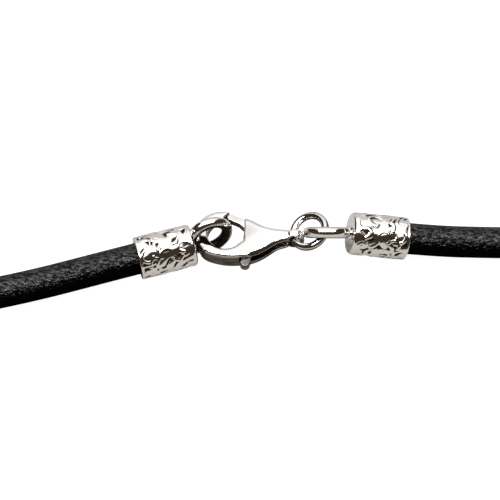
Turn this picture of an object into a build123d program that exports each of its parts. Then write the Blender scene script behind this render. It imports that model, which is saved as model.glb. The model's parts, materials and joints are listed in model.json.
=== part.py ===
from build123d import *
import math
import os

# A leather necklace laid on a table: a round black cord, two cast silver end caps
# with a closed ring loop each, a jump ring, and a lobster clasp hooked through the left loop.
# X runs from the left cap to the right one, Y away from the front, Z up from the table.
# The origin is on the table under the middle of the metal.

# Cord, with how far it goes into a cap and how far it stays straight before one
cord_diameter = 4.0
cord_depth = 5.5
cord_lead = 3.3

# End caps: a round cup with raised scrolls, the same at both ends
cord_clearance = 0.05
cap_wall = 0.5
relief_height = 0.2
cap_length = 7.3
cap_end_wall = 0.8
cap_edge_round = 0.45
mouth_band = 0.3
smooth_band = 0.5
scroll_width = 0.5
cap_bore = cord_diameter + 2 * cord_clearance
cap_core = cap_bore + 2 * cap_wall
cap_diameter = cap_core + 2 * relief_height

# Ring loops soldered to the closed ends
loop_wire = 1.4
loop_diameter = 6.2
solder_flare = 0.35
loop_radius = (loop_diameter - loop_wire) / 2

# Jump ring, with the cut where it was closed
jump_wire = 1.0
jump_diameter = 5.4
jump_cut = 0.1
jump_radius = (jump_diameter - jump_wire) / 2

# Lobster clasp: a flat cast claw and shell, thickest at the near side
clasp_length = 13.6
claw_width = 7.7
clasp_thickness = 2.4
clasp_taper = 1.0
clasp_height = 3.03
clasp_edge_round = 0.3
bevel_slope = 42.0
eye_diameter = 2.6
eye_edge_round = 0.25
eye_hole = 1.7
eye_width = 1.3

# Lever in the shell's slot, turning on a pin
lever_thickness = 1.0
lever_clearance = 0.06
lever_hub = 2.0
gate_width = 0.9
tip_clearance = 0.08
tab_width = 1.25
pin_diameter = 0.8
pin_clearance = 0.03
pin_inset = 0.06
pin_cover = 0.12

# The clasp's left end and its middle line in plan
CLASP_LEFT = -9.12
CLASP_MIDDLE = 1.03

# Each cap: the middle of its closed end in plan, from the clasp's left end or from its eye, the
# cap's heading and rise towards that end, then its loop's heading, rise and roll, how far the
# loop's foot is off the middle, and how deep it is sunk
CAPS = {
    "left_end_cap": dict(
        beside="claw", end=(-0.54, -1.11), heading=16.3, rise=2.4,
        loop_heading=21.0, loop_rise=2.0, loop_roll=0.0, loop_aside=0.56, loop_sink=0.75,
    ),
    "right_end_cap": dict(
        beside="eye", end=(6.98, -0.12), heading=182.4, rise=12.0,
        loop_heading=184.6, loop_rise=7.0, loop_roll=-38.0, loop_aside=0.0, loop_sink=0.15,
    ),
}

# The jump ring's middle from the middle of the eye, and the way its flat side faces
JUMP_MIDDLE = (1.89, 0.327, 0.97)
JUMP_FACING = (-0.42, -0.18, 0.89)
JUMP_CUT_TURN = 62.0

# The clasp's outline in plan: distance from the left end as a share of the clasp's length,
# and from the middle line as a share of the claw's width
OUTLINE = (
    (0.003, 0.165),
    (0.010, 0.256),
    (0.046, 0.360),
    (0.112, 0.451),
    (0.193, 0.500),
    (0.281, 0.490),
    (0.362, 0.438),
    (0.443, 0.366),
    (0.516, 0.301),
    (0.604, 0.197),
    (0.707, 0.132),
    (0.803, 0.106),
    (0.847, 0.094),
    (0.873, -0.010),
    (0.847, -0.121),
    (0.781, -0.166),
    (0.685, -0.277),
    (0.597, -0.387),
    (0.501, -0.465),
    (0.391, -0.495),
    (0.281, -0.497),
    (0.171, -0.458),
    (0.060, -0.361),
    (0.017, -0.225),
    (0.014, -0.090),
    (0.012, 0.035),
)

# In the same shares: the claw's opening, the straight side it has at the shell,
# the gap that the gate closes, the slot, the upper edge of the near bevel, the middle of the eye
# across, the pivot, the gate's tip and the thumb tab
OPENING = dict(along=0.258, across=0.012, half_length=0.164, half_width=0.338)
OPENING_SIDE = ((0.280, 0.330), (0.428, 0.330), (0.428, -0.140), (0.350, -0.250))
GAP = ((0.200, 0.640), (0.200, 0.270), (0.360, 0.100), (0.434, 0.100), (0.434, 0.640))
SLOT = (
    (0.393, -0.700), (0.393, -0.330), (0.450, -0.050), (0.375, 0.060), (0.330, 0.400),
    (0.432, 0.520), (0.468, 0.300), (0.560, 0.200), (0.640, 0.040), (0.840, -0.090),
    (0.860, -0.400), (0.600, -0.700),
)
BEVEL = ((0.406, -0.497), (0.851, -0.062))
EYE_ACROSS = -0.010
PIVOT = (0.520, 0.075)
GATE = ((0.306, 0.388), (0.405, 0.300))
TAB = (0.444, -0.556)

# Scrolls of the relief on the two panels that alternate round a cap: distance along it as a
# share of the relief's length, across and radius as shares of the panel, start and sweep in degrees
PANEL_A = (
    (0.12, 0.10, 0.34, 20, 230),
    (0.36, -0.26, 0.30, 200, 210),
    (0.40, 0.34, 0.30, 150, 170),
    (0.64, 0.12, 0.36, -60, 250),
    (0.88, -0.22, 0.30, 30, 190),
)
PANEL_B = (
    (0.14, -0.16, 0.32, -150, 220),
    (0.26, 0.36, 0.28, 100, 190),
    (0.50, 0.00, 0.36, 60, 240),
    (0.72, 0.30, 0.28, -80, 170),
    (0.86, -0.20, 0.32, 120, 220),
)
PANELS = 8

# The cord's route from before the left cap round to before the right one
ROUTE = (
    (-30.50, -6.15, 2.00),
    (-42.50, -9.10, 2.00),
    (-54.50, -8.60, 2.00),
    (-64.50, -3.00, 2.00),
    (-71.50, 7.00, 2.00),
    (-75.00, 20.50, 2.00),
    (-75.50, 36.00, 2.00),
    (-72.50, 52.50, 2.00),
    (-65.50, 68.50, 2.00),
    (-55.00, 84.00, 2.00),
    (-40.50, 96.50, 2.00),
    (-22.00, 104.50, 2.00),
    (-1.50, 106.50, 2.00),
    (18.50, 103.50, 2.00),
    (36.50, 95.50, 2.00),
    (51.50, 83.50, 2.00),
    (63.00, 68.50, 2.00),
    (70.00, 52.00, 2.00),
    (72.00, 35.50, 2.00),
    (69.50, 20.50, 2.00),
    (60.50, 9.00, 2.00),
    (49.50, 2.60, 2.00),
    (37.50, 0.90, 2.00),
    (28.50, 1.00, 2.00),
)


def spot(shares):
    """A place on the clasp's plan from its shares."""
    return CLASP_LEFT + shares[0] * clasp_length, CLASP_MIDDLE + shares[1] * claw_width


def eye_middle():
    return Vector(CLASP_LEFT + clasp_length - eye_diameter / 2, spot((0, EYE_ACROSS))[1], clasp_height)


def heading(yaw, rise):
    yaw = math.radians(yaw)
    rise = math.radians(rise)
    return Vector(math.cos(yaw) * math.cos(rise), math.sin(yaw) * math.cos(rise), math.sin(rise))


def stand(origin, yaw, rise, roll=0.0):
    """The place of a piece made along Z, so that it points along a heading."""
    plane = Plane(origin=origin, x_dir=heading(yaw - 90, 0), z_dir=heading(yaw, rise))
    return Location(plane) * Rotation(0, 0, roll)


def column(radius, low, high):
    return Pos(0, 0, low) * Cylinder(radius, high - low, align=(Align.CENTER, Align.CENTER, Align.MIN))


def slab(points, low, high):
    """An upright block over a polygon of places on the clasp's plan."""
    outline = Polyline(*[spot(p) for p in points], close=True)
    return extrude(Pos(0, 0, low) * make_face(outline), amount=high - low)


def cap_mouth(name):
    """The middle of a cap's mouth, with the cap resting on the table by its mouth."""
    row = CAPS[name]
    beside = {"claw": Vector(CLASP_LEFT, CLASP_MIDDLE), "eye": eye_middle()}[row["beside"]]
    mouth = beside + Vector(*row["end"]) - heading(row["heading"], row["rise"]) * cap_length
    return Vector(mouth.X, mouth.Y, cap_diameter / 2 * math.cos(math.radians(row["rise"])))


def relief():
    """The raised scrolls round a cap, as solids on its core."""
    panel = math.pi * cap_diameter / PANELS
    low = mouth_band
    high = cap_length - smooth_band
    shell = column(cap_diameter / 2, low, high) - column(cap_core / 2 - 0.05, 0, cap_length)
    stamps = []
    for rows in (PANEL_A, PANEL_B):
        strokes = Sketch()
        for run, side, radius, start, sweep in rows:
            middle = (side * panel, low + run * (high - low))
            strokes += SlotArc(CenterArc(middle, radius * panel, start, sweep), scroll_width)
        stamps.append(extrude(Plane.XZ * strokes, amount=cap_diameter) & shell)
    solids = []
    for k in range(PANELS):
        stamp = stamps[k % 2]
        if k % 4 > 1:
            stamp = mirror(stamp, Plane.YZ)
        solids.append(Rot(0, 0, 360 * k / PANELS) * stamp)
    return solids


def cup():
    """A cap without its loop, standing on its mouth."""
    core = column(cap_core / 2, 0, cap_length)
    core = fillet(core.edges().sort_by(Axis.Z)[-1:], cap_edge_round)
    core = core + relief()
    return core - column(cap_bore / 2, -1, cap_length - cap_end_wall)


def end_cap(name, plain):
    row = CAPS[name]
    mouth = cap_mouth(name)
    body = stand(mouth, row["heading"], row["rise"]) * plain
    end = mouth + heading(row["heading"], row["rise"]) * cap_length
    foot = end + heading(row["heading"] + 90, 0) * row["loop_aside"]
    reach = heading(row["loop_heading"], row["loop_rise"])
    turn = (row["loop_heading"], row["loop_rise"], row["loop_roll"])
    ring = Rotation(0, 90, 0) * Torus(loop_radius, loop_wire / 2)
    ring = stand(foot + reach * (loop_diameter / 2 - row["loop_sink"]), *turn) * ring
    flare = Cone(loop_wire / 2 + solder_flare, loop_wire / 2 - 0.1, 2 * solder_flare)
    flare = stand(foot + reach * (solder_flare - 0.1), *turn) * flare
    return body + [ring, flare]


def half_thickness(across):
    """Half the clasp's thickness at a share across it."""
    return clasp_thickness / 2 - clasp_taper / 2 * (across + 0.5)


def near_bevel():
    """What the bevel along the shell's near side takes off its top edge."""
    start, end = [Vector(*spot(p), clasp_height + half_thickness(p[1])) for p in BEVEL]
    along = (end - start).normalized()
    level = Plane(origin=start, x_dir=along, z_dir=Vector(0, 0, 1) - along * along.Z)
    side = 3 * clasp_length
    block = Box(side, side, clasp_thickness, align=(Align.CENTER, Align.CENTER, Align.MIN))
    return Location(level) * Rotation(bevel_slope, 0, 0) * block


def claw_plate():
    """The clasp's whole outline, sloped on both faces so that it thins towards the far side."""
    outline = make_face(Spline(*[spot(p) for p in OUTLINE], periodic=True))
    plate = extrude(outline, amount=2 * clasp_height)
    corners = []
    for across, side in ((-1, -1), (1, -1), (1, 1), (-1, 1)):
        corners.append((spot((0, across))[1], clasp_height + side * half_thickness(across)))
    section = Polyline(*corners, close=True)
    wedge = extrude(Plane.YZ * make_face(section), amount=3 * clasp_length, both=True)
    plate = plate & wedge
    rims = plate.edges().filter_by(Axis.Z, reverse=True)
    return fillet(rims, clasp_edge_round) - near_bevel()


def gate_reach():
    """From the pivot to the end of the gate."""
    return (Vector(*spot(GATE[0])) - Vector(*spot(PIVOT))).length + gate_width / 2


def clasp_body():
    plate = claw_plate()
    top = 2 * clasp_height
    opening = Pos(*spot((OPENING["along"], OPENING["across"]))) * Ellipse(
        OPENING["half_length"] * clasp_length, OPENING["half_width"] * claw_width
    )
    plate -= extrude(opening, amount=top)
    plate -= slab(OPENING_SIDE, 0, top)
    swing = Pos(*spot(PIVOT)) * column(gate_reach() + tip_clearance, 0, top)
    plate -= slab(GAP, 0, top) & swing
    half_slot = lever_thickness / 2 + lever_clearance
    plate -= slab(SLOT, clasp_height - half_slot, clasp_height + half_slot)
    across = Location(eye_middle()) * Rotation(90, 0, 0)
    barrel = Cylinder(eye_diameter / 2, eye_width)
    barrel = fillet(barrel.edges().filter_by(GeomType.CIRCLE), eye_edge_round)
    plate += across * barrel
    plate -= across * Cylinder(eye_hole / 2, 3 * eye_width)
    return plate - Pos(*spot(PIVOT)) * column(pin_diameter / 2, 0, pin_top())


def bar(start, end, width):
    """A flat bar in plan with round ends."""
    a = Vector(*start)
    b = Vector(*end)
    middle = (a + b) * 0.5
    turn = math.degrees(math.atan2(b.Y - a.Y, b.X - a.X))
    return Pos(middle.X, middle.Y) * Rotation(0, 0, turn) * SlotCenterToCenter((b - a).length, width)


def clasp_lever():
    pivot = spot(PIVOT)
    tip = spot(GATE[0])
    elbow = spot(GATE[1])
    tab = spot(TAB)
    shape = Pos(*pivot) * Circle(lever_hub / 2)
    shape += bar(tip, elbow, gate_width)
    shape += bar(elbow, pivot, gate_width)
    shape += bar(pivot, tab, tab_width)
    low = clasp_height - lever_thickness / 2
    lever = extrude(Pos(0, 0, low) * shape, amount=lever_thickness)
    return lever - Pos(*pivot) * column(pin_diameter / 2 + pin_clearance, 0, 2 * clasp_height)


def pin_top():
    """The pin goes in from below and ends under the shell's closed top."""
    return clasp_height + half_thickness(PIVOT[1]) - pin_cover


def clasp_pin():
    low = clasp_height - half_thickness(PIVOT[1]) + pin_inset
    return Pos(*spot(PIVOT)) * column(pin_diameter / 2, low, pin_top())


def jump_ring():
    plane = Plane(origin=eye_middle() + Vector(*JUMP_MIDDLE), z_dir=JUMP_FACING)
    ring = Torus(jump_radius, jump_wire / 2)
    cut = Pos(jump_radius, 0) * Box(2 * jump_wire, jump_cut, 2 * jump_wire)
    ring -= Rotation(0, 0, JUMP_CUT_TURN) * cut
    return Location(plane) * ring


def cord_end(name):
    """The cord's straight end in a cap: where it starts before the mouth and where it ends inside."""
    row = CAPS[name]
    way = heading(row["heading"], row["rise"])
    return cap_mouth(name) - way * cord_lead, cap_mouth(name) + way * cord_depth


def leather_cord():
    left = cord_end("left_end_cap")
    right = cord_end("right_end_cap")
    points = [left[1], left[0], *[Vector(*p) for p in ROUTE], *right]
    radii = []
    for a, b, c in zip(points, points[1:], points[2:]):
        turn = math.radians((b - a).get_angle(c - b))
        run = min((b - a).length, (c - b).length)
        radii.append(0.45 * run / math.tan(turn / 2))
    path = FilletPolyline(*points, radius=radii)
    print("cord radii", [round(r, 1) for r in radii])
    start = Plane(origin=path @ 0, z_dir=path % 0)
    tube = sweep(start * Circle(cord_diameter / 2), path=path)
    ideal = math.pi * cord_diameter**2 / 4 * path.length
    print("cord length", round(path.length, 2), "volume", round(tube.volume, 2), "of", round(ideal, 2))
    return tube


plain_cup = cup()
pieces = {
    "leather_cord": leather_cord(),
    "left_end_cap": end_cap("left_end_cap", plain_cup),
    "right_end_cap": end_cap("right_end_cap", plain_cup),
    "jump_ring": jump_ring(),
    "clasp_body": clasp_body(),
    "clasp_lever": clasp_lever(),
    "clasp_pin": clasp_pin(),
}

os.makedirs("parts", exist_ok=True)
for node, solid in pieces.items():
    export_step(solid, f"parts/{node}.step")
    box = solid.bounding_box()
    low = [round(v, 2) for v in box.min]
    high = [round(v, 2) for v in box.max]
    print(node, "solids", len(solid.solids()), "volume", round(solid.volume, 2), low, high)
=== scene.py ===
"""Scene of a leather necklace laid on a pale table, closed by its lobster clasp."""

from __future__ import annotations

import json
import logging
import math
from dataclasses import dataclass
from enum import Enum

import bpy
import numpy as np
from mathutils import Matrix, Vector

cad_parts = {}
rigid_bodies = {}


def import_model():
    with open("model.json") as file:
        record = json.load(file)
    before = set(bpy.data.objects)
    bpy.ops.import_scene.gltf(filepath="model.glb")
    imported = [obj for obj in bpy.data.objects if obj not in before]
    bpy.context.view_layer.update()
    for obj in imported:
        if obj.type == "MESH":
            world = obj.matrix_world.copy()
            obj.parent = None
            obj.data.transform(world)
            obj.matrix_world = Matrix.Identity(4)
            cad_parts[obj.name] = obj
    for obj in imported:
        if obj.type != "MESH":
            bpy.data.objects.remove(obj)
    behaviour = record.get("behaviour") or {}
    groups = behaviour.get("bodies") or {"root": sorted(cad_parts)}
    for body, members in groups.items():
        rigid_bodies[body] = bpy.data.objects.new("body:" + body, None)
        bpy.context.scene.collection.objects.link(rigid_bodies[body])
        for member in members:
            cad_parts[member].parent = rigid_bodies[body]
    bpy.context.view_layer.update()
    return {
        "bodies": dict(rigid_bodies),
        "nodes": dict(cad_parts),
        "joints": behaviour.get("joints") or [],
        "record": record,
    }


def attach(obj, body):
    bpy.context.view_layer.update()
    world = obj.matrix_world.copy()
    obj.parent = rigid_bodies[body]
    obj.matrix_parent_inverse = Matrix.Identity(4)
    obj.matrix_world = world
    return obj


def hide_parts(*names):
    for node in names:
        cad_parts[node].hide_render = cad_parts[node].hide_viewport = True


MM = 0.001
BODY = "necklace"
LEVER_BODY = "lever"

# Sizes of the solids, in mm
CORD_DIAMETER = 4.0
CORD_DEPTH = 5.5
CORD_LEAD = 3.3
CAP_LENGTH = 7.3
CAP_BORE = 4.1
CAP_CORE = 5.1
CAP_DIAMETER = 5.5
CAP_EDGE_ROUND = 0.45
CAP_MOUTH_BAND = 0.3
CAP_SMOOTH_BAND = 0.5
SCROLL_WIDTH = 0.5
LOOP_WIRE = 1.4
LOOP_DIAMETER = 6.2
SOLDER_FLARE = 0.35

# The clasp's left end on its middle line, and the middle of its eye, in plan
CLASP_LEFT = (-9.12, 1.03)
CLASP_EYE = (3.18, 0.953)

# The middles of the caps' closed ends in plan, from the clasp's left end and from its eye
LEFT_END = (-0.54, -1.11)
RIGHT_END = (6.98, -0.12)

# The thumb tab stands in front of this Y
TAB_EDGE = -0.6

# The clasp's top rims lie above this height
TOP_RIM = 3.55

# What lies under this height is in the clasp's own shade, which the polished finish paints into its colour
# as painted shade
SHADE_TOP = 2.75

# Scrolls of the relief on the two panels that alternate round a cap: distance along it as a
# share of the relief's length, across and radius as shares of the panel, start and sweep in degrees
PANEL_A = (
    (0.12, 0.10, 0.34, 20, 230),
    (0.36, -0.26, 0.30, 200, 210),
    (0.40, 0.34, 0.30, 150, 170),
    (0.64, 0.12, 0.36, -60, 250),
    (0.88, -0.22, 0.30, 30, 190),
)
PANEL_B = (
    (0.14, -0.16, 0.32, -150, 220),
    (0.26, 0.36, 0.28, 100, 190),
    (0.50, 0.00, 0.36, 60, 240),
    (0.72, 0.30, 0.28, -80, 170),
    (0.86, -0.20, 0.32, 120, 220),
)
PANELS = 8

# Sockets of the Mix node when it mixes colours
MIX_SHARE = 0
MIX_FIRST = 6
MIX_SECOND = 7
MIX_RESULT = 2

# Values or links of a node's inputs, by name or number
Sockets = dict[str | int, object]

log = logging.getLogger("necklace")


class Kind(Enum):
    """The kinds of shader node that the finishes use."""

    PLACE = "ShaderNodeTexCoord"
    MAPPING = "ShaderNodeMapping"
    NOISE = "ShaderNodeTexNoise"
    BUMP = "ShaderNodeBump"
    SPLIT = "ShaderNodeSeparateXYZ"
    GEOMETRY = "ShaderNodeNewGeometry"
    ATTRIBUTE = "ShaderNodeAttribute"
    MATH = "ShaderNodeMath"
    RANGE = "ShaderNodeMapRange"
    MIX = "ShaderNodeMix"
    SURFACE = "ShaderNodeBsdfPrincipled"
    OUTPUT = "ShaderNodeOutputMaterial"


def linear(code: str) -> tuple[float, float, float, float]:
    """Turns an sRGB hex colour into linear values.

    Args:
        code: Six hex digits.

    Returns:
        Linear red, green, blue and an alpha of 1.
    """
    values = [int(code[i : i + 2], 16) / 255 for i in (0, 2, 4)]
    r, g, b = [v / 12.92 if v <= 0.04045 else ((v + 0.055) / 1.055) ** 2.4 for v in values]
    return r, g, b, 1.0


def add_node(tree: bpy.types.NodeTree, kind: Kind, sockets: Sockets, **settings: object) -> bpy.types.Node:
    """Adds one shader node with its settings and links.

    Args:
        tree: The node tree.
        kind: The node's kind.
        sockets: The values or links of its inputs, by name or number.
        settings: The node's own settings.

    Returns:
        The new node.
    """
    node = tree.nodes.new(kind.value)
    for name, value in settings.items():
        setattr(node, name, value)
    for name, value in sockets.items():
        if isinstance(value, bpy.types.NodeSocket):
            tree.links.new(value, node.inputs[name])
        else:
            node.inputs[name].default_value = value
    return node


@dataclass(frozen=True)
class Span:
    """A stretch of values, from low to high, that is spread over another, from first to last."""

    low: float
    high: float
    first: float = 0.0
    last: float = 1.0

    def of(self, value: bpy.types.NodeSocket) -> Sockets:
        """Lists the inputs that spread a value.

        Args:
            value: The value's socket.

        Returns:
            Inputs for a Map Range node, which clamps.
        """
        return {
            "Value": value,
            "From Min": self.low,
            "From Max": self.high,
            "To Min": self.first,
            "To Max": self.last,
        }


@dataclass(frozen=True)
class Shades:
    """Two colours of one material, as sRGB hex values."""

    dark: str
    bright: str

    def of(self, share: bpy.types.NodeSocket) -> Sockets:
        """Lists the inputs that mix the colours.

        Args:
            share: The socket of the bright colour's share, from 0 to 1.

        Returns:
            Inputs for a Mix node.
        """
        return {MIX_SHARE: share, MIX_FIRST: linear(self.dark), MIX_SECOND: linear(self.bright)}


@dataclass(frozen=True)
class Pattern:
    """An uneven pattern: how many of its marks lie on a mm, and how fine and rough they are."""

    per_mm: float
    detail: float = 1.0
    roughness: float = 0.5

    def of(self, place: bpy.types.NodeSocket) -> Sockets:
        """Lists the inputs that draw the pattern.

        Args:
            place: The socket of the place on the piece, in metres.

        Returns:
            Inputs for a Noise Texture node.
        """
        return {
            "Vector": place,
            "Scale": self.per_mm / MM,
            "Detail": self.detail,
            "Roughness": self.roughness,
        }


@dataclass(frozen=True)
class Pressed:
    """How deep a pattern is pressed into a surface, in mm, and how much of that counts."""

    depth: float
    strength: float = 1.0

    def of(self, height: bpy.types.NodeSocket) -> Sockets:
        """Lists the inputs that press the pattern.

        Args:
            height: The pattern's socket.

        Returns:
            Inputs for a Bump node.
        """
        return {"Height": height, "Strength": self.strength, "Distance": self.depth * MM}


@dataclass(frozen=True)
class DyedLeather:
    """Round leather cord: hide cut round, drawn through a die and dyed black all through.

    The dye takes nearly all the light. What is left is a grey speckle on the grain's tops that face
    up, a painted sheen, longer along the cord, because drawing stretches the grain.
    """

    name: str = "leather"
    shades: Shades = Shades("010101", "080808")
    # Hide has five to ten grains a mm, too fine to show, so they are drawn a little coarser
    grain: Pattern = Pattern(4.2, detail=2.0, roughness=0.6)
    grain_depth: Pressed = Pressed(0.16)
    patches: Pattern = Pattern(3.1, detail=2.0)
    stretched: tuple[float, float, float] = (0.5, 1.0, 1.0)
    # Painted sheen: the specular strength follows how far the bumped grain faces up, so the upper side
    # shines and the lower side stays black, and it follows the patches that handling has rubbed
    level: Span = Span(0.74, 0.90, 0.0, 0.41)
    rubbed: Span = Span(0.42, 0.60, 0.22, 1.7)
    roughness: Span = Span(0.35, 0.65, 0.22, 0.08)

    def shader(self, tree: bpy.types.NodeTree) -> bpy.types.Node:
        """Adds the leather's nodes.

        Args:
            tree: The material's node tree.

        Returns:
            The surface's node.
        """
        place = add_node(tree, Kind.PLACE, {}).outputs["Object"]
        drawn = add_node(tree, Kind.MAPPING, {"Vector": place, "Scale": self.stretched}).outputs[0]
        grain = add_node(tree, Kind.NOISE, self.grain.of(drawn)).outputs[0]
        patches = add_node(tree, Kind.NOISE, self.patches.of(drawn)).outputs[0]
        bump = add_node(tree, Kind.BUMP, self.grain_depth.of(grain)).outputs[0]
        # Painted sheen: specular only where the bumped grain faces up
        facing = add_node(tree, Kind.SPLIT, {"Vector": bump}).outputs["Z"]
        lit = add_node(tree, Kind.RANGE, self.level.of(facing)).outputs[0]
        worn = add_node(tree, Kind.RANGE, self.rubbed.of(patches)).outputs[0]
        sheen = add_node(tree, Kind.MATH, {0: lit, 1: worn}, operation="MULTIPLY").outputs[0]
        colour = add_node(tree, Kind.MIX, self.shades.of(patches), data_type="RGBA")
        rough = add_node(tree, Kind.RANGE, self.roughness.of(patches)).outputs[0]
        surface = {
            "Base Color": colour.outputs[MIX_RESULT],
            "Roughness": rough,
            "Specular IOR Level": sheen,
            "Normal": bump,
        }
        return add_node(tree, Kind.SURFACE, surface)


@dataclass(frozen=True)
class CastOxidisedSilver:
    """Silver cast in a mould, blackened all over and wiped bright on its raised places.

    The oxide stays brown and dull in the hollows and folds, while the scrolls, the bands and
    the loops' outsides are nearly white and mirror the lights. The loops' sides and inside are dark,
    partly oxide and partly painted shade, and the fold lines on the caps' sides get extra painted shade.
    """

    name: str = "cast_silver"
    shades: Shades = Shades("2c2116", "f3f1ed")
    # A casting's skin has ten or more grains a mm, too fine to show, so they are drawn coarser
    grain: Pattern = Pattern(2.6, detail=4.0)
    grain_depth: Pressed = Pressed(0.04, strength=0.10)
    uneven: Span = Span(0.3, 0.7, -0.12, 0.12)
    wiped: Span = Span(0.18, 0.62)
    roughness: Span = Span(0.0, 1.0, 0.45, 0.11)

    def shader(self, tree: bpy.types.NodeTree) -> bpy.types.Node:
        """Adds the casting's nodes, which read how polished each place of the mesh is, with its painted
        shade.

        Args:
            tree: The material's node tree.

        Returns:
            The surface's node.
        """
        place = add_node(tree, Kind.PLACE, {}).outputs["Object"]
        polish_and_shade = add_node(tree, Kind.ATTRIBUTE, {}, attribute_name="polish_and_shade").outputs["Fac"]
        grain = add_node(tree, Kind.NOISE, self.grain.of(place)).outputs[0]
        uneven = add_node(tree, Kind.RANGE, self.uneven.of(grain)).outputs[0]
        total = add_node(tree, Kind.MATH, {0: polish_and_shade, 1: uneven}, operation="ADD").outputs[0]
        tone = add_node(tree, Kind.RANGE, self.wiped.of(total)).outputs[0]
        colour = add_node(tree, Kind.MIX, self.shades.of(tone), data_type="RGBA")
        surface = {
            "Base Color": colour.outputs[MIX_RESULT],
            "Metallic": 1.0,
            "Roughness": add_node(tree, Kind.RANGE, self.roughness.of(tone)).outputs[0],
            "Normal": add_node(tree, Kind.BUMP, self.grain_depth.of(grain)).outputs[0],
        }
        return add_node(tree, Kind.SURFACE, surface)


@dataclass(frozen=True)
class PolishedSilver:
    """Silver filed smooth and brought to a mirror on its top.

    The top, by how level it lies, gets the bright colour as painted light, with soft swells and grey
    patches of painted reflection;
    the walls keep the file's strokes and a dark colour, a painted reflection of the dim room, and so does
    all that lies under the shade height, as painted shade.
    """

    name: str
    # What lies in front of this Y, in mm, keeps less of the bright top, as painted shade; nothing lies
    # before the default
    dull_edge: float = -1000.0
    dull_blend: float = 0.2
    dull_share: float = 0.25
    # The bright top colour by how level a place is, as painted light, and none at all under the shade
    # height, as painted shade, which starts over this stretch
    level: Span = Span(0.05, 0.5)
    shade_blend: float = 0.3
    roughness: Span = Span(0.0, 1.0, 0.26, 0.07)
    # Hand filing leaves swells about 4 mm long
    swells: Pattern = Pattern(0.24)
    swell_depth: Pressed = Pressed(0.12, strength=0.35)
    # A buff's scratches are far too fine to show, so they are drawn as coarse as these
    scuffs: Pattern = Pattern(2.4, detail=3.0)
    scuff_depth: Pressed = Pressed(0.02, strength=0.06)
    # Grey patches about 6 mm long, a painted reflection, moved by these mm to lie on the shell as on the
    # real one
    top: Shades = Shades("d9d9d8", "fdfdfd")
    patches: Pattern = Pattern(0.17)
    patches_moved: tuple[float, float, float] = (-0.8, 0.6, 0.0)
    grey_reflection: Span = Span(0.37, 0.49)
    # The walls' dark colour is a painted reflection of the dim room. The file's strokes run level along
    # the walls, drawn coarser than real ones so that they show
    wall: Shades = Shades("453c33", "6f6962")
    strokes: Pattern = Pattern(3.6, detail=2.0)
    strokes_stretched: tuple[float, float, float] = (0.12, 0.12, 1.0)
    stroke_tones: Span = Span(0.4, 0.6)

    def shader(self, tree: bpy.types.NodeTree) -> bpy.types.Node:
        """Adds the polished metal's nodes.

        Args:
            tree: The material's node tree.

        Returns:
            The surface's node.
        """
        place = add_node(tree, Kind.PLACE, {}).outputs["Object"]
        swells = add_node(tree, Kind.NOISE, self.swells.of(place)).outputs[0]
        broad = add_node(tree, Kind.BUMP, self.swell_depth.of(swells)).outputs[0]
        scuffs = add_node(tree, Kind.NOISE, self.scuffs.of(place)).outputs[0]
        fine = {**self.scuff_depth.of(scuffs), "Normal": broad}
        buffed_and_lit = self._buffed_and_lit(tree, place)
        # Painted light and shade: the bright top's colour on level places and the walls' dark colour
        # elsewhere
        mixed = {
            MIX_SHARE: buffed_and_lit,
            MIX_FIRST: self._wall(tree, place),
            MIX_SECOND: self._top(tree, place),
        }
        surface = {
            "Base Color": add_node(tree, Kind.MIX, mixed, data_type="RGBA").outputs[MIX_RESULT],
            "Metallic": 1.0,
            "Roughness": add_node(tree, Kind.RANGE, self.roughness.of(buffed_and_lit)).outputs[0],
            "Normal": add_node(tree, Kind.BUMP, fine).outputs[0],
        }
        return add_node(tree, Kind.SURFACE, surface)

    def _buffed_and_lit(self, tree: bpy.types.NodeTree, place: bpy.types.NodeSocket) -> bpy.types.NodeSocket:
        """Finds the bright top's share: painted light on level places, painted shade on the walls and
        under the shade height, and less in front of the dull edge.

        Args:
            tree: The material's node tree.
            place: The socket of the place on the piece.

        Returns:
            The socket of the share, from 0 to 1.
        """
        normal = add_node(tree, Kind.GEOMETRY, {}).outputs["Normal"]
        upward = add_node(tree, Kind.SPLIT, {"Vector": normal}).outputs["Z"]
        flat = add_node(tree, Kind.MATH, {0: upward}, operation="ABSOLUTE").outputs[0]
        where = add_node(tree, Kind.SPLIT, {"Vector": place})
        dull = Span(self.dull_edge * MM, (self.dull_edge + self.dull_blend) * MM, self.dull_share)
        # Painted shade under the clasp: none of the bright top below the shade height
        shade = Span((SHADE_TOP - self.shade_blend) * MM, SHADE_TOP * MM)
        share = add_node(tree, Kind.RANGE, self.level.of(flat)).outputs[0]
        for factor in (dull.of(where.outputs["Y"]), shade.of(where.outputs["Z"])):
            limit = add_node(tree, Kind.RANGE, factor).outputs[0]
            share = add_node(tree, Kind.MATH, {0: share, 1: limit}, operation="MULTIPLY").outputs[0]
        return share

    def _top(self, tree: bpy.types.NodeTree, place: bpy.types.NodeSocket) -> bpy.types.NodeSocket:
        """Adds the bright top with its grey patches of painted reflection.

        Args:
            tree: The material's node tree.
            place: The socket of the place on the piece.

        Returns:
            The colour's socket.
        """
        moved = tuple(v * MM for v in self.patches_moved)
        aside = add_node(tree, Kind.MAPPING, {"Vector": place, "Location": moved}).outputs[0]
        patches = add_node(tree, Kind.NOISE, self.patches.of(aside)).outputs[0]
        grey_reflection = add_node(tree, Kind.RANGE, self.grey_reflection.of(patches)).outputs[0]
        return add_node(tree, Kind.MIX, self.top.of(grey_reflection), data_type="RGBA").outputs[MIX_RESULT]

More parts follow.
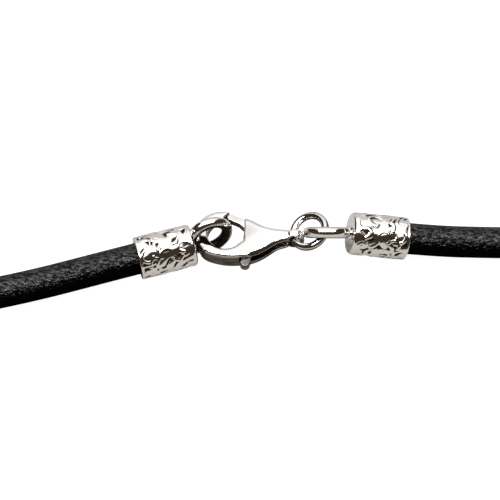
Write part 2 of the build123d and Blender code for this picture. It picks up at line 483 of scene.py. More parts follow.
    def _wall(self, tree: bpy.types.NodeTree, place: bpy.types.NodeSocket) -> bpy.types.NodeSocket:
        """Adds the walls' dark colour, a painted reflection of the dim room, with the file's strokes.

        Args:
            tree: The material's node tree.
            place: The socket of the place on the piece.

        Returns:
            The colour's socket.
        """
        level = add_node(tree, Kind.MAPPING, {"Vector": place, "Scale": self.strokes_stretched})
        strokes = add_node(tree, Kind.NOISE, self.strokes.of(level.outputs[0])).outputs[0]
        tone = add_node(tree, Kind.RANGE, self.stroke_tones.of(strokes)).outputs[0]
        return add_node(tree, Kind.MIX, self.wall.of(tone), data_type="RGBA").outputs[MIX_RESULT]


@dataclass(frozen=True)
class PaintedTop:
    """A table top painted matt: even and with no pattern, as a white board for photographs is."""

    name: str
    colour: str
    glow: float = 0.0
    roughness: float = 0.8

    def shader(self, tree: bpy.types.NodeTree) -> bpy.types.Node:
        """Adds the paint's node.

        Args:
            tree: The material's node tree.

        Returns:
            The surface's node.
        """
        surface = {
            "Base Color": linear(self.colour),
            "Roughness": self.roughness,
            "Emission Color": linear("ffffff"),
            "Emission Strength": self.glow,
        }
        return add_node(tree, Kind.SURFACE, surface)


class Finish(Enum):
    """The finishes that the pieces share."""

    LEATHER = DyedLeather()
    CAST = CastOxidisedSilver()
    POLISHED = PolishedSilver("polished_silver")
    # The lever, with painted shade on its thumb tab in front of TAB_EDGE
    SHADED_TAB = PolishedSilver("shaded_tab_silver", dull_edge=TAB_EDGE)
    TABLE = PaintedTop("table", "8c8c8c", glow=0.98)
    TABLE_SHADE = PaintedTop("table_shade", "bab7b3")


class Materials:
    """Makes each finish once."""

    def __init__(self) -> None:
        """Starts with none made."""
        self.made: dict[Finish, bpy.types.Material] = {}

    def get(self, finish: Finish) -> bpy.types.Material:
        """Finds or makes a finish.

        Args:
            finish: Which finish.

        Returns:
            Its material.
        """
        if finish not in self.made:
            material = bpy.data.materials.new(finish.value.name)
            material.use_nodes = True
            material.node_tree.nodes.clear()
            surface = finish.value.shader(material.node_tree)
            add_node(material.node_tree, Kind.OUTPUT, {"Surface": surface.outputs[0]})
            self.made[finish] = material
        return self.made[finish]


def give(obj: bpy.types.Object, material: bpy.types.Material) -> None:
    """Gives an object one material on all its slots.

    Args:
        obj: The object.
        material: The finish.
    """
    if not obj.data.materials:
        obj.data.materials.append(material)
    for i in range(len(obj.data.materials)):
        obj.data.materials[i] = material


def heading(yaw: float, rise: float) -> Vector:
    """Finds a direction from its angles.

    Args:
        yaw: Degrees from +X towards +Y.
        rise: Degrees up from the table.

    Returns:
        The unit vector.
    """
    a = math.radians(yaw)
    b = math.radians(rise)
    return Vector((math.cos(a) * math.cos(b), math.sin(a) * math.cos(b), math.sin(b)))


def standing(origin: Vector, yaw: float, rise: float, roll: float = 0.0) -> Matrix:
    """Finds the place of a piece made along Z, so that it points along a heading.

    Args:
        origin: Where its origin goes, in mm.
        yaw: The heading's yaw in degrees.
        rise: The heading's rise in degrees.
        roll: Its turn about its own length in degrees.

    Returns:
        The matrix, in mm.
    """
    up = heading(yaw, rise)
    side = heading(yaw - 90, 0)
    frame = Matrix((side, up.cross(side), up)).transposed().to_4x4()
    return Matrix.Translation(origin) @ frame @ Matrix.Rotation(math.radians(roll), 4, "Z")


def ramp(values: np.ndarray, start: float, length: float) -> np.ndarray:
    """Rises evenly from 0 at a start to 1 a length further on.

    Args:
        values: The values to place on the ramp.
        start: Where it starts.
        length: How long it is.

    Returns:
        Shares from 0 to 1.
    """
    return np.clip((values - start) / length, 0, 1)


def hump(values: np.ndarray, middle: float, width: float) -> np.ndarray:
    """Rises softly to 1 at a middle and falls again.

    Args:
        values: The values to place on the hump.
        middle: Where it is highest.
        width: How far from there it has fallen to 0.37.

    Returns:
        Shares from 0 to 1.
    """
    return np.exp(-(((values - middle) / width) ** 2))


def blur(grid: np.ndarray, around: float, along: float) -> np.ndarray:
    """Smooths a grid that closes on itself in its second direction.

    Args:
        grid: The values, by run and then angle.
        around: The spread in cells round.
        along: The spread in cells along.

    Returns:
        The smoothed values.
    """
    out = grid
    for axis, spread in ((1, around), (0, along)):
        reach = max(1, int(3 * spread))
        steps = np.arange(-reach, reach + 1)
        weights = np.exp(-0.5 * (steps / spread) ** 2)
        weights /= weights.sum()
        pad = [(0, 0), (0, 0)]
        pad[axis] = (reach, reach)
        padded = np.pad(out, pad, mode="wrap" if axis == 1 else "edge")
        size = out.shape[axis]
        out = sum(w * np.take(padded, range(i, i + size), axis=axis) for i, w in enumerate(weights))
    return out


@dataclass
class MeshData:
    """Points in mm, each with how polished it is and any painted shade, and quads."""

    points: np.ndarray
    polish_and_shade: np.ndarray
    quads: np.ndarray

    @staticmethod
    def grid(rows: np.ndarray, closed: tuple[bool, bool]) -> MeshData:
        """Joins rows of points into a skin of quads.

        Args:
            rows: The points with their polish, by row and column.
            closed: Whether rows and columns close on themselves.

        Returns:
            The mesh.
        """
        n, m = rows.shape[:2]
        i, j = np.meshgrid(
            np.arange(n if closed[0] else n - 1), np.arange(m if closed[1] else m - 1), indexing="ij"
        )
        a, b = (i + 1) % n, (j + 1) % m
        quads = np.stack([i * m + j, i * m + b, a * m + b, a * m + j], axis=-1).reshape(-1, 4)
        flat = rows.reshape(-1, 4)
        return MeshData(flat[:, :3].copy(), flat[:, 3].copy(), quads)

    @staticmethod
    def joined(parts: list[MeshData]) -> MeshData:
        """Puts several meshes into one.

        Args:
            parts: The meshes.

        Returns:
            Their sum.
        """
        starts = np.cumsum([0] + [len(p.points) for p in parts[:-1]])
        quads = [p.quads + s for p, s in zip(parts, starts)]
        points = np.concatenate([p.points for p in parts])
        return MeshData(points, np.concatenate([p.polish_and_shade for p in parts]), np.concatenate(quads))

    def move(self, place: Matrix) -> MeshData:
        """Moves the points.

        Args:
            place: The matrix, in mm.

        Returns:
            The same mesh, moved.
        """
        m = np.array(place)
        self.points = self.points @ m[:3, :3].T + m[:3, 3]
        return self

    def object(self, name: str) -> bpy.types.Object:
        """Makes the object, in metres, with outward normals and smooth shading.

        Args:
            name: The object's name.

        Returns:
            The object.
        """
        mesh = bpy.data.meshes.new(name)
        mesh.from_pydata((self.points * MM).tolist(), [], self.quads.tolist())
        polish_and_shade = mesh.attributes.new("polish_and_shade", "FLOAT", "POINT")
        polish_and_shade.data.foreach_set("value", self.polish_and_shade.astype(np.float32))
        obj = bpy.data.objects.new(name, mesh)
        pick(obj)
        bpy.ops.object.mode_set(mode="EDIT")
        bpy.ops.mesh.select_all(action="SELECT")
        bpy.ops.mesh.normals_make_consistent(inside=False)
        bpy.ops.object.mode_set(mode="OBJECT")
        bpy.ops.object.shade_smooth()
        return obj


def pick(obj: bpy.types.Object) -> None:
    """Puts a new object in the scene and selects it alone.

    Args:
        obj: The object.
    """
    bpy.context.scene.collection.objects.link(obj)
    bpy.ops.object.select_all(action="DESELECT")
    bpy.context.view_layer.objects.active = obj
    obj.select_set(True)


def circle(count: int) -> np.ndarray:
    """Divides a turn evenly.

    Args:
        count: How many angles.

    Returns:
        The angles in radians, from 0.
    """
    return np.linspace(0, 2 * math.pi, count, endpoint=False)


def ring(
    radius: float | np.ndarray, run: float, polish_and_shade: float | np.ndarray, turns: np.ndarray
) -> np.ndarray:
    """Lists the points of a ring about Z.

    Args:
        radius: Its radius in mm, or one for each angle.
        run: Its height in mm.
        polish_and_shade: How polished it is, or one value for each angle.
        turns: The angles in radians.

    Returns:
        One row of x, y, z and polish for each angle.
    """
    ones = np.ones(turns.shape)
    return np.stack([radius * np.cos(turns), radius * np.sin(turns), run * ones, polish_and_shade * ones], axis=-1)


def wire_loop(radius: float, wire: float, around: int, section: int) -> MeshData:
    """Makes a closed wire loop about Z, bright outside, and dark on its sides and inside, partly oxide and
    partly painted shade.

    Args:
        radius: To the wire's middle, in mm.
        wire: The wire's radius in mm.
        around: Points round the loop.
        section: Points round the wire.

    Returns:
        The mesh.
    """
    a = circle(around)[:, None]
    b = circle(section)[None, :]
    out = radius + wire * np.cos(b)
    # Only the wire's outside stays bright; the darkness on its sides and inside is partly oxide and partly
    # painted shade
    darkest, brightest, slope = 0.1, 0.9, 1.1
    polish_and_shade = np.clip(darkest + slope * np.cos(b), darkest, brightest) + 0 * a
    rows = np.stack([out * np.cos(a), out * np.sin(a), wire * np.sin(b) + 0 * a, polish_and_shade], axis=-1)
    return MeshData.grid(rows, closed=(True, True))


def places_of(obj: bpy.types.Object) -> np.ndarray:
    """Reads a mesh's points.

    Args:
        obj: The object.

    Returns:
        One row for each point.
    """
    places = np.empty(len(obj.data.vertices) * 3)
    obj.data.vertices.foreach_get("co", places)
    return places.reshape(-1, 3)


@dataclass(frozen=True)
class Waves:
    """Smooth unevenness: a few waves of about one length, in mm, added up."""

    size: float
    count: int

    def over(self, angle: np.ndarray, run: np.ndarray, seed: int) -> np.ndarray:
        """Adds up the waves, which close round the cap.

        Args:
            angle: Angles round the cap in radians.
            run: Distances from the mouth in mm.
            seed: The seed of the waves' places.

        Returns:
            Values mostly between -1 and 1.
        """
        rng = np.random.default_rng(seed)
        total = np.zeros(angle.shape)
        turns = math.pi * CAP_DIAMETER / self.size
        for _ in range(self.count):
            n = rng.integers(-int(turns), int(turns) + 1)
            pitch = rng.uniform(-1, 1) * 2 * math.pi / self.size
            total += np.sin(n * angle + pitch * run + rng.uniform(0, 2 * math.pi))
        return total / math.sqrt(self.count)


@dataclass(frozen=True)
class WornRelief:
    """The worn relief round a cap: scrolls over folded ground, between two plain bands.

    Sizes are in mm, and heights are shares of the relief's height.
    """

    seed: int
    # The folds' slant in radians a mm, and how flat the relief is at 45 degrees up the side
    fold_pitch: float
    calm: float

    # How far the scrolls' lines wander round and along the cap. The waves along are turned by
    # a radian, so that they differ from those round it
    wander_round: float = 0.10
    wander_along: float = 0.16
    mean_radius: float = 2.6
    round_waves: Waves = Waves(2.6, 7)
    along_waves: Waves = Waves(2.2, 7)
    along_turn: float = 1.0

    # The scrolls: the soft edge each side of one, its height, its crown's, and a distance
    # farther than any place is from one
    edge: float = 0.21
    scroll_height: float = 0.78
    crown: float = 0.25
    far: float = 9.0

    # The ground between them, with folds that are deeper low on the sides
    ground: float = 0.56
    ground_swing: float = 0.24
    ground_waves: Waves = Waves(1.9, 9)
    ground_top: float = 0.9
    folds_around: int = 5
    fold_wander: float = 1.2
    fold_waves: Waves = Waves(3.4, 5)
    fold_depth: float = 0.10
    side_fold_depth: float = 0.45
    mean_fold: float = 0.55
    side: tuple[float, float] = (0.78, 0.12)
    shoulder: tuple[float, float] = (0.70, 0.11)
    calm_height: float = 0.6

    # The plain band at the closed end and the rim at the mouth
    band_height: float = 0.55
    rim_height: float = 0.85
    blend: float = 0.1
    band_slope: float = 0.15
    rim_slope: float = 0.2

    # The wear: pits are what lies lower than its surroundings, which are taken this far round
    pit_reach: float = 0.40
    pit_from: float = 0.08
    pit_dark: float = 5.0
    fold_line: float = 0.4
    line_dark: float = 0.1
    # Fold lines are oxide in the creases; their extra darkness on the sides is painted shade
    side_line_oxide_and_shade: float = 0.3
    polish_and_shade: float = 0.95

    # The height that even the lowest ground has, and how far the cap is out of round
    least: float = 0.2
    out_of_round: float = 0.02
    round_error: Waves = Waves(4.0, 5)

    def scrolls(self, angle: np.ndarray, run: np.ndarray) -> np.ndarray:
        """Finds how far each place is from the nearest scroll's middle line.

        Args:
            angle: Angles round the cap in radians.
            run: Distances from the mouth in mm.

        Returns:
            The distances in mm.
        """
        panel = math.pi * CAP_DIAMETER / PANELS
        length = CAP_LENGTH - CAP_SMOOTH_BAND - CAP_MOUTH_BAND
        nearest = np.full(angle.shape, self.far)
        for k in range(PANELS):
            turn = angle + math.pi / 2 - 2 * math.pi * k / PANELS
            # The second pair of panels mirrors the first
            across = CAP_DIAMETER / 2 * np.sin(turn) * (-1 if k % 4 > 1 else 1)
            for share, side, radius, start, sweep in (PANEL_A, PANEL_B)[k % 2]:
                u = across - side * panel
                v = run - CAP_MOUTH_BAND - share * length
                on_arc = np.mod(np.degrees(np.arctan2(v, u)) - start, 360) <= sweep
                to_tips = np.full(angle.shape, self.far)
                for tip in (math.radians(start), math.radians(start + sweep)):
                    x, y = radius * panel * math.cos(tip), radius * panel * math.sin(tip)
                    to_tips = np.minimum(to_tips, np.hypot(u - x, v - y))
                d = np.where(on_arc, np.abs(np.hypot(u, v) - radius * panel), to_tips)
                nearest = np.where(np.cos(turn) > 0, np.minimum(nearest, d), nearest)
        return nearest

    def surface(self, angle: np.ndarray, run: np.ndarray) -> tuple[np.ndarray, np.ndarray]:
        """Shapes the outer wall.

        Args:
            angle: Angles round the cap in radians, by run and then angle.
            run: Distances from the mouth in mm, in the same order.

        Returns:
            The radius in mm, and how polished each place is from 0 to 1, with painted shade on the fold
            lines of the sides.
        """
        bend_round = self.wander_round * self.round_waves.over(angle, run, self.seed)
        bend_along = self.wander_along * self.along_waves.over(angle + self.along_turn, run, self.seed)
        d = self.scrolls(angle + bend_round / self.mean_radius, run + bend_along)
        half = SCROLL_WIDTH / 2
        ridge = np.clip((half + self.edge - d) / (2 * self.edge), 0, 1)
        ridge = ridge * ridge * (3 - 2 * ridge)
        crown = self.crown * np.clip(1 - (d / half) ** 2, 0, 1)

        slant = self.folds_around * angle + self.fold_pitch * run
        slant += self.fold_wander * self.fold_waves.over(angle, run, self.seed)
        folds = np.abs(np.sin(slant))
        sideways = np.abs(np.cos(angle))
        low = ramp(sideways, *self.side)
        ground = self.ground + self.ground_swing * self.ground_waves.over(angle, run, self.seed)
        ground += (self.fold_depth + self.side_fold_depth * low) * (folds - self.mean_fold)

        height = np.maximum(self.scroll_height * ridge + crown, np.clip(ground, 0, self.ground_top))
        height += self.calm * hump(sideways, *self.shoulder) * (self.calm_height - height)
        band = ramp(run, CAP_LENGTH - CAP_SMOOTH_BAND - self.blend, self.band_slope)
        rim = ramp(CAP_MOUTH_BAND + self.blend - run, 0, self.rim_slope)
        height = height * (1 - band) * (1 - rim) + self.band_height * band + self.rim_height * rim

        along, around = angle.shape
        reach = (self.pit_reach * around / (math.pi * CAP_DIAMETER), self.pit_reach * along / CAP_LENGTH)
        pits = np.clip(blur(height, *reach) - height - self.pit_from, 0, 1)
        lines = np.clip(1 - folds / self.fold_line, 0, 1)
        dark = self.pit_dark * pits + (self.line_dark + self.side_line_oxide_and_shade * low) * lines
        polish_and_shade = np.maximum(np.clip(self.polish_and_shade - dark, 0, 1), np.maximum(band, rim))
        relief = (CAP_DIAMETER - CAP_CORE) / 2 * (self.least + (1 - self.least) * height)
        error = self.out_of_round * self.round_error.over(angle, run, self.seed)
        return CAP_CORE / 2 + relief + error, polish_and_shade


@dataclass
class Cap:
    """An end cap: a cup with worn raised scrolls, and the ring loop soldered to its closed end.

    Sizes are in mm and angles in degrees, as in the solids.
    """

    node: str
    end: Vector
    yaw: float
    rise: float
    loop_yaw: float
    loop_rise: float
    loop_roll: float
    loop_aside: float
    loop_sink: float
    relief: WornRelief
    # Points round the cup and along its wall
    around: int = 320
    along: int = 170
    # Rings down the bore, then round the mouth's inner edge: each by how far it is outside the
    # bore, its height and its polish
    bore_depths: tuple[float, ...] = (5.4, 2.5, 0.5, 0.08)
    bore_polish: float = 0.25
    mouth_edge: tuple[tuple[float, float, float], ...] = ((0.03, 0.02, 0.5), (0.1, 0.0, 1.0))
    # The mouth's outer rounding, with the angles of its rings, those round the closed end's
    # edge, and the rings on that end as shares of its radius
    lip_round: float = 0.12
    lip_angles: tuple[int, ...] = (0, 30, 60)
    edge_angles: tuple[int, ...] = (18, 36, 54, 72, 90)
    end_shares: tuple[float, ...] = (0.75, 0.5, 0.25, 0.02)
    end_polish: float = 0.9
    # Points round the loop and round its wire
    loop_steps: tuple[int, int] = (128, 36)
    # The solder's foot under the closed end, its height from there, and how far its top is
    # under the wire's skin
    flare_foot: float = -0.15
    flare_height: float = 0.9
    flare_under: float = 0.03
    flare_polish: float = 0.8
    flare_steps: tuple[int, int] = (48, 8)

    def way(self) -> Vector:
        """Finds the direction from the mouth to the closed end."""
        return heading(self.yaw, self.rise)

    def mouth(self) -> Vector:
        """Finds the middle of the mouth, by which the cap rests on the table.

        Returns:
            The place in mm.
        """
        middle = self.end - self.way() * CAP_LENGTH
        middle.z = CAP_DIAMETER / 2 * math.cos(math.radians(self.rise))
        return middle

    def build(self, materials: Materials) -> bpy.types.Object:
        """Makes the cap and its loop as one object.

        Args:
            materials: The finishes.

        Returns:
            The cap object.
        """
        foot = self.mouth() + self.way() * CAP_LENGTH
        foot += heading(self.yaw + 90, 0) * self.loop_aside
        middle = foot + heading(self.loop_yaw, self.loop_rise) * (LOOP_DIAMETER / 2 - self.loop_sink)
        loop_way = (self.loop_yaw, self.loop_rise, self.loop_roll)
        upright = Matrix.Rotation(math.radians(90), 4, "Y")
        loop = wire_loop((LOOP_DIAMETER - LOOP_WIRE) / 2, LOOP_WIRE / 2, *self.loop_steps)
        parts = [
            self._cup().move(standing(self.mouth(), self.yaw, self.rise)),
            loop.move(standing(middle, *loop_way) @ upright),
            self._flare().move(standing(foot, *loop_way)),
        ]
        obj = MeshData.joined(parts).object(self.node + "_worn")
        give(obj, materials.get(Finish.CAST))
        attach(obj, BODY)
        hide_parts(self.node)
        return obj

    def _cup(self) -> MeshData:
        """Makes the cup along Z, with its mouth at the origin.

        Returns:
            Its skin, from inside the bore round the mouth and up to the closed end.
        """
        turns = circle(self.around)
        runs = np.linspace(self.lip_round, CAP_LENGTH - CAP_EDGE_ROUND, self.along)
        run, angle = np.meshgrid(runs, turns, indexing="ij")
        radius, polish_and_shade = self.relief.surface(angle, run)
        bore = CAP_BORE / 2
        rows = [(bore, depth, self.bore_polish) for depth in self.bore_depths]
        rows += [(bore + out, z, shine) for out, z, shine in self.mouth_edge]
        for a in np.radians(self.lip_angles):
            r = radius[0] - self.lip_round + self.lip_round * math.sin(a)
            rows.append((r, self.lip_round * (1 - math.cos(a)), 1.0))
        rows += zip(radius, runs, polish_and_shade)
        for a in np.radians(self.edge_angles):
            r = radius[-1] - CAP_EDGE_ROUND * (1 - math.cos(a))
            rows.append((r, CAP_LENGTH - CAP_EDGE_ROUND * (1 - math.sin(a)), 1.0))
        for share in self.end_shares:
            rows.append(((radius[-1] - CAP_EDGE_ROUND) * share, CAP_LENGTH, self.end_polish))
        grid = [ring(r, z, shine, turns) for r, z, shine in rows]
        return MeshData.grid(np.array(grid), closed=(False, True))

    def _flare(self) -> MeshData:
        """Makes the solder's flare along Z, from the closed end up the loop's wire.

        Returns:
            The mesh.
        """
        turns = circle(self.flare_steps[0])
        rows = []
        for share in np.linspace(0, 1, self.flare_steps[1]):
            r = LOOP_WIRE / 2 - self.flare_under + SOLDER_FLARE * (1 - share) ** 2
            rows.append(ring(r, self.flare_foot + share * self.flare_height, self.flare_polish, turns))
        return MeshData.grid(np.array(rows), closed=(False, True))


@dataclass(frozen=True)
class NearBevel:
    """The bevel along the shell's near side, over the lever's slot, in mm and degrees."""

    lip: float = 3.65
    slope: float = 42.0
    # It fades in between the first two of these X values and out between the last two, by
    # starting up to this much higher
    ends: tuple[float, float, float, float] = (-3.9, -2.2, 1.6, 3.0)
    fade_lift: float = 0.8
    # The outline is read from the wall between these heights, at stations a step apart
    wall: tuple[float, float] = (2.0, 2.4)
    step: float = 0.1
    beyond: float = 0.4
    evened: int = 5
    # The rims' wear is full again from this far inwards, and rises to that over this stretch
    spared_to: float = 1.1
    spared_blend: float = 0.3

    def measure(self, places: np.ndarray) -> tuple[np.ndarray, np.ndarray]:
        """Finds how far places lie inside the near outline, and the bevel's strength there.

        Args:
            places: The body's points in mm.

        Returns:
            The distances in mm, and shares from 0 to 1.
        """
        x, y, z = places.T
        outside = (z > self.wall[0]) & (z < self.wall[1])
        stations = np.arange(self.ends[0] - self.beyond, self.ends[3] + self.beyond, self.step)
        near = np.array([y[outside & (np.abs(x - s) < self.step)].min() for s in stations])
        padded = np.pad(near, self.evened // 2, mode="edge")
        near = np.convolve(padded, np.ones(self.evened) / self.evened, mode="valid")
        tilt = np.interp(x, stations, np.gradient(near, stations))
        inward = (y - np.interp(x, stations, near)) / np.sqrt(1 + tilt**2)
        return inward, np.interp(x, self.ends, (0, 1, 1, 0))

    def carve(self, obj: bpy.types.Object) -> None:
        """Lowers the top along the near outline.

        Args:
            obj: The clasp's body, in mm.
        """
        places = places_of(obj)
        inward, share = self.measure(places)
        rise = math.tan(math.radians(self.slope))
        limit = self.lip + self.fade_lift * (1 - share) + rise * np.clip(inward, 0, None)
        z = places[:, 2]
        places[:, 2] = np.where(z > self.lip, np.minimum(z, limit), z)
        obj.data.vertices.foreach_set("co", places.ravel())
        obj.data.update()

    def worn(self, places: np.ndarray) -> np.ndarray:
        """Finds how much of the rims' wear each place gets, so that the bevel stays sharp.

        Args:
            places: The body's points in mm.

        Returns:
            Shares of the wear from 0 to 1.
        """
        inward, share = self.measure(places)
        return 1 - share * np.clip((self.spared_to - inward) / self.spared_blend, 0, 1)


@dataclass(frozen=True)
class Wear:
    """One round of wear: how often the rims above a height are rubbed, by default all of them."""

    strokes: int
    above: float = -1.0
    blend: float = 0.25
    pull: float = 0.5

    def rub(self, obj: bpy.types.Object, bevel: NearBevel | None) -> None:
        """Rounds the rims.

        Args:
            obj: The piece, in mm.
            bevel: The bevel that wear of the top alone spares, if there is one.
        """
        group = obj.vertex_groups.new(name="rims")
        places = places_of(obj)
        shares = ramp(places[:, 2], self.above, self.blend)
        if bevel and self.above > 0:
            shares *= bevel.worn(places)
        for i in np.flatnonzero(shares > 0):
            group.add([int(i)], float(shares[i]), "REPLACE")
        rubbing = obj.modifiers.new("wear", "SMOOTH")
        rubbing.factor = self.pull
        rubbing.iterations = self.strokes
        rubbing.vertex_group = group.name
        bpy.ops.object.modifier_apply(modifier=rubbing.name)
        obj.vertex_groups.clear()


@dataclass
class ClaspPiece:
    """The clasp's body or its lever, with its sharp rims rounded by wear."""

    node: str
    body: str
    finish: Finish
    wear: tuple[Wear, ...]
    bevel: NearBevel | None = None
    grain: float = 0.055

    def build(self, source: bpy.types.Object, materials: Materials) -> bpy.types.Object:
        """Makes the piece from the solid's own shape.

        Args:
            source: The solid's object.
            materials: The finishes.

        Returns:
            The piece.
        """
        mesh = source.data.copy()
        mesh.transform(Matrix.Scale(1 / MM, 4) @ source.matrix_world)
        obj = bpy.data.objects.new(self.node + "_worn", mesh)
        pick(obj)
        self._skin(obj)
        if self.bevel:
            self.bevel.carve(obj)
            self._skin(obj)
        for wear in self.wear:
            wear.rub(obj, self.bevel)
        bpy.ops.object.shade_smooth()
        obj.data.transform(Matrix.Scale(MM, 4))
        give(obj, materials.get(self.finish))
        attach(obj, self.body)
        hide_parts(self.node)
        return obj

    def _skin(self, obj: bpy.types.Object) -> None:
        """Takes an even skin over the piece.

        Args:
            obj: The piece, in mm.
        """
        skin = obj.modifiers.new("skin", "REMESH")
        skin.mode = "VOXEL"
        skin.voxel_size = self.grain
        bpy.ops.object.modifier_apply(modifier=skin.name)


@dataclass
class LeatherCord:
    """The round cord in its loop, from inside one cap to inside the other."""

    left: Cap
    right: Cap
    section_steps: int = 12
    run_steps: int = 24
    route: tuple[tuple[float, float, float], ...] = (
        (-30.50, -6.15, 2.00),
        (-42.50, -9.10, 2.00),
        (-54.50, -8.60, 2.00),
        (-64.50, -3.00, 2.00),
        (-71.50, 7.00, 2.00),
        (-75.00, 20.50, 2.00),
        (-75.50, 36.00, 2.00),
        (-72.50, 52.50, 2.00),
        (-65.50, 68.50, 2.00),
        (-55.00, 84.00, 2.00),
        (-40.50, 96.50, 2.00),
        (-22.00, 104.50, 2.00),
        (-1.50, 106.50, 2.00),
        (18.50, 103.50, 2.00),
        (36.50, 95.50, 2.00),
        (51.50, 83.50, 2.00),
        (63.00, 68.50, 2.00),
        (70.00, 52.00, 2.00),
        (72.00, 35.50, 2.00),
        (69.50, 20.50, 2.00),
        (60.50, 9.00, 2.00),
        (49.50, 2.60, 2.00),
        (37.50, 0.90, 2.00),
        (28.50, 1.00, 2.00),
    )

    def points(self) -> list[Vector]:
        """Lists the control points, with a straight run into each cap.

        Returns:
            The points in mm.
        """
        ends = []
        for cap in (self.left, self.right):
            ends.append((cap.mouth() + cap.way() * CORD_DEPTH, cap.mouth() - cap.way() * CORD_LEAD))
        return [*ends[0], *[Vector(p) for p in self.route], *reversed(ends[1])]

    def build(self, materials: Materials) -> bpy.types.Object:
        """Makes the cord as one smooth curve with a round section.

        Args:
            materials: The finishes.

        Returns:
            The cord object.
        """
        data = bpy.data.curves.new("leather_cord_round", "CURVE")
        data.dimensions = "3D"
        data.bevel_depth = CORD_DIAMETER / 2 * MM
        data.bevel_resolution = self.section_steps
        data.use_fill_caps = True
        data.resolution_u = self.run_steps
        points = self.points()
        spline = data.splines.new("NURBS")
        spline.points.add(len(points) - 1)
        for point, place in zip(spline.points, points):
            point.co = (*(place * MM), 1.0)
        spline.order_u = 3
        spline.use_endpoint_u = True
        cord = bpy.data.objects.new("leather_cord_round", data)
        bpy.context.scene.collection.objects.link(cord)
        give(cord, materials.get(Finish.LEATHER))
        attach(cord, BODY)
        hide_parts("leather_cord")
        return cord


@dataclass
class Camera:
    """The camera at the photograph's angle, in mm and degrees."""

    target: tuple[float, float, float] = (-2.45, 1.38, 0.0)
    distance: float = 205.0
    elevation: float = 52.0
    half_field: float = 8.94
    sensor: float = 36.0
    nearest: float = 10.0
    farthest: float = 20000.0

    def build(self) -> bpy.types.Object:
        """Makes the camera and sets it as the scene's.

        Returns:
            The camera object.
        """
        rise = math.radians(self.elevation)
        back = Vector((0, -math.cos(rise), math.sin(rise)))
        data = bpy.data.cameras.new("camera")
        data.sensor_width = self.sensor
        data.lens = self.sensor / 2 / math.tan(math.radians(self.half_field))
        data.clip_start = self.nearest * MM
        data.clip_end = self.farthest * MM
        camera = bpy.data.objects.new("camera", data)
        bpy.context.scene.collection.objects.link(camera)
        camera.location = Vector(self.target) * MM + back * (self.distance * MM)
        camera.rotation_euler = (-back).to_track_quat("-Z", "Y").to_euler()
        bpy.context.scene.camera = camera
        return camera


@dataclass(frozen=True)
class SoftLight:
    """A rectangular soft light, in metres, that faces the middle of the table."""

    name: str
    place: tuple[float, float, float]
    size: tuple[float, float]
    radiance: float

    def build(self) -> bpy.types.Object:
        """Makes the light, whose power is its radiance times its area times pi.

        Returns:
            The light object.
        """
        data = bpy.data.lights.new(self.name, "AREA")
        data.shape = "RECTANGLE"
        data.size, data.size_y = self.size
        data.energy = self.radiance * math.pi * self.size[0] * self.size[1]
        light = bpy.data.objects.new(self.name, data)
        bpy.context.scene.collection.objects.link(light)
        light.location = self.place
        light.rotation_euler = Vector(self.place).to_track_quat("Z", "Y").to_euler()
        return light


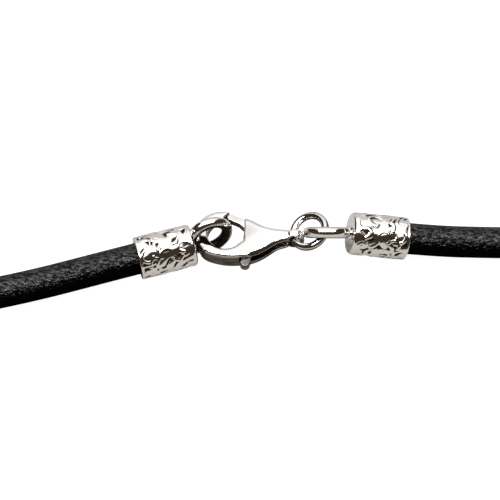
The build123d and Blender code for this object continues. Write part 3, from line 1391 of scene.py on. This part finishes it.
@dataclass
class Studio:
    """The pale table, in metres, the soft lights over it and the dim room around."""

    materials: Materials
    table_side: float = 4.0
    shade_depth: float = 0.0002
    room: str = "5b4c3e"
    room_strength: float = 0.4
    lights: tuple[SoftLight, ...] = (
        # A narrow bright strip that rims leaning to the camera mirror as sharp lights
        SoftLight("key", (0.0, -0.155, 0.59), (0.9, 0.06), 16.0),
        # What metal mirrors that leans a little to the camera, lies level, or leans away
        SoftLight("overhead", (0.0, -0.026, 0.60), (0.9, 0.65), 1.4),
        SoftLight("far side", (0.0, 0.405, 0.509), (0.9, 0.288), 1.10),
        SoftLight("far wall", (0.0, 0.618, 0.20), (0.9, 0.50), 0.60),
    )

    def build(self) -> None:
        """Makes the table, the lights and the room.

        The table glows for the camera alone. The metal mirrors the shade under it instead.
        """
        table = self._sheet("table", 0.0, Finish.TABLE)
        table.visible_glossy = False
        table.visible_diffuse = False
        table.visible_shadow = False
        shade = self._sheet("table_shade", -self.shade_depth, Finish.TABLE_SHADE)
        shade.visible_camera = False
        for light in self.lights:
            light.build()
        world = bpy.data.worlds.new("surroundings")
        world.use_nodes = True
        background = world.node_tree.nodes["Background"]
        background.inputs[0].default_value = linear(self.room)
        background.inputs[1].default_value = self.room_strength
        scene = bpy.context.scene
        scene.world = world
        scene.view_settings.view_transform = "Standard"
        scene.view_settings.look = "None"
        scene.view_settings.exposure = 0.0

    def _sheet(self, name: str, height: float, finish: Finish) -> bpy.types.Object:
        """Adds a flat square sheet.

        Args:
            name: The object's name.
            height: Its height in metres.
            finish: Its finish.

        Returns:
            The sheet.
        """
        bpy.ops.mesh.primitive_plane_add(size=self.table_side, location=(0, 0, height))
        sheet = bpy.context.object
        sheet.name = name
        give(sheet, self.materials.get(finish))
        return sheet


def end_caps() -> tuple[Cap, Cap]:
    """Sizes the two caps, whose places follow the clasp.

    Returns:
        The left cap and the right cap.
    """
    left = Cap(
        node="left_end_cap",
        end=Vector((CLASP_LEFT[0] + LEFT_END[0], CLASP_LEFT[1] + LEFT_END[1], 0)),
        yaw=16.3,
        rise=2.4,
        loop_yaw=21.0,
        loop_rise=2.0,
        loop_roll=0.0,
        loop_aside=0.56,
        loop_sink=0.75,
        relief=WornRelief(seed=4, fold_pitch=1.5, calm=0.6),
    )
    right = Cap(
        node="right_end_cap",
        end=Vector((CLASP_EYE[0] + RIGHT_END[0], CLASP_EYE[1] + RIGHT_END[1], 0)),
        yaw=182.4,
        rise=12.0,
        loop_yaw=184.6,
        loop_rise=7.0,
        loop_roll=-38.0,
        loop_aside=0.0,
        loop_sink=0.15,
        relief=WornRelief(seed=9, fold_pitch=0.5, calm=0.3),
    )
    return left, right


def main() -> None:
    """Builds the scene in order."""
    logging.basicConfig(level=logging.INFO, format="%(message)s")
    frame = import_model()
    materials = Materials()
    caps = end_caps()
    camera = Camera().build()
    log.info("%s looks from %s", camera.name, tuple(camera.location))
    cord = LeatherCord(*caps).build(materials)
    log.info("%s has %d control points", cord.name, len(cord.data.splines[0].points))
    for cap in caps:
        built = cap.build(materials)
        log.info("%s has %d faces", built.name, len(built.data.polygons))
    # The jump ring and the pin are plain wire, so their solids only need their finish
    for name in ("jump_ring", "clasp_pin"):
        give(frame["nodes"][name], materials.get(Finish.POLISHED))
        log.info("%s keeps its solid", name)
    for piece in (
        ClaspPiece("clasp_body", BODY, Finish.POLISHED, (Wear(24), Wear(170, TOP_RIM)), NearBevel()),
        ClaspPiece("clasp_lever", LEVER_BODY, Finish.SHADED_TAB, (Wear(40),)),
    ):
        built = piece.build(frame["nodes"][piece.node], materials)
        log.info("%s has %d faces", built.name, len(built.data.polygons))
    Studio(materials).build()
    log.info("table, lights and room are in place")


if __name__ == "__main__":
    main()
